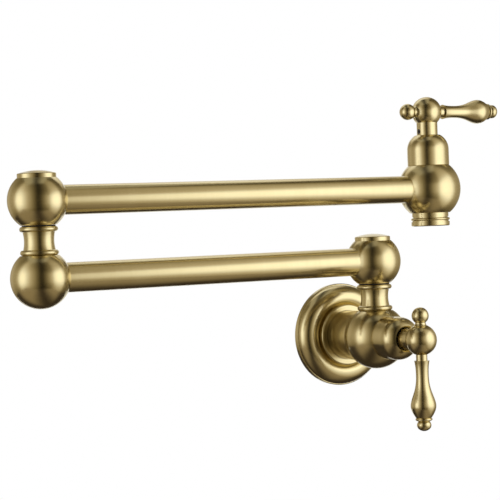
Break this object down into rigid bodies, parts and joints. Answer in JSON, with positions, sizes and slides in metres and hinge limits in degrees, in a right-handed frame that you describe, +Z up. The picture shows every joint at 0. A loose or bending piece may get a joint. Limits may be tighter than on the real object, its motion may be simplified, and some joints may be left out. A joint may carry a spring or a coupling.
{
  "type": "folding wall-mounted pot filler tap",
  "caption": "Wall-mounted pot filler tap: jointed arms fold sideways along the wall, with a shut-off lever valve at the wall and another over the spout.",
  "frame": {"origin": "middle of the inlet thread's mouth, in the plane of the wall", "axes": "+Y into the wall along the inlet, +Z up, +X to the right as seen from the room"},
  "size_m": [0.3807, 0.1149, 0.2294],
  "materials": {
    "satin_brass": "satin brushed gold plating",
    "plain_brass": "turned, unplated",
    "seal_rubber": "black nitrile rubber",
    "valve_ceramic": "lapped alumina",
    "white_plastic": "moulded acetal",
    "black_plastic": "moulded acetal",
    "screw_steel": "stainless set screw"
  },
  "bodies": {
    "wall_valve": {"wall_flange": "satin_brass", "flange_o_ring": "seal_rubber", "valve_body": "satin_brass", "wall_cartridge_body": "plain_brass", "wall_cartridge_o_ring": "seal_rubber", "wall_seat_seal": "seal_rubber", "wall_fixed_disc": "valve_ceramic", "wall_bonnet": "satin_brass", "post_neck_sleeve": "satin_brass", "post_thrust_washer": "black_plastic", "post_swivel_bolt": "plain_brass", "post_swivel_o_rings": "seal_rubber"},
    "lower_arm": {"post_ball": "satin_brass", "post_head_washer": "black_plastic", "post_cap": "satin_brass", "lower_arm_tube": "satin_brass", "elbow_lower_ball": "satin_brass", "elbow_neck_sleeve": "satin_brass", "elbow_thrust_washer": "black_plastic", "elbow_swivel_bolt": "plain_brass", "elbow_swivel_o_rings": "seal_rubber"},
    "upper_arm": {"elbow_upper_ball": "satin_brass", "elbow_head_washer": "black_plastic", "elbow_cap": "satin_brass", "upper_arm_tube": "satin_brass", "spout_ball": "satin_brass", "spout_cartridge_body": "plain_brass", "spout_cartridge_o_ring": "seal_rubber", "spout_seat_seal": "seal_rubber", "spout_fixed_disc": "valve_ceramic", "spout_bonnet": "satin_brass", "aerator_shell": "satin_brass", "aerator_insert": "white_plastic", "aerator_washer": "seal_rubber"},
    "wall_handle": {"wall_handle_hub": "satin_brass", "wall_handle_lever": "satin_brass", "wall_handle_finial": "satin_brass", "wall_handle_set_screw": "screw_steel", "wall_spindle": "plain_brass", "wall_spindle_o_ring": "seal_rubber", "wall_moving_disc": "valve_ceramic"},
    "spout_handle": {"spout_handle_hub": "satin_brass", "spout_handle_lever": "satin_brass", "spout_handle_finial": "satin_brass", "spout_handle_set_screw": "screw_steel", "spout_spindle": "plain_brass", "spout_spindle_o_ring": "seal_rubber", "spout_moving_disc": "valve_ceramic"}
  },
  "joints": [
    {"name": "post_swivel", "type": "hinge", "parent": "wall_valve", "child": "lower_arm", "pos_m": [0, -0.0494, 0.053], "axis": [0, 0, 1], "range_deg": [0, 180]},
    {"name": "elbow_swivel", "type": "hinge", "parent": "lower_arm", "child": "upper_arm", "pos_m": [-0.25, -0.0494, 0.1], "axis": [0, 0, -1], "continuous": true},
    {"name": "wall_handle_turn", "type": "hinge", "parent": "wall_valve", "child": "wall_handle", "pos_m": [0, -0.1, 0], "axis": [0, -1, 0], "range_deg": [0, 90]},
    {"name": "spout_handle_turn", "type": "hinge", "parent": "upper_arm", "child": "spout_handle", "pos_m": [0.05, -0.0494, 0.14], "axis": [0, 0, 1], "range_deg": [0, 90]}
  ]
}
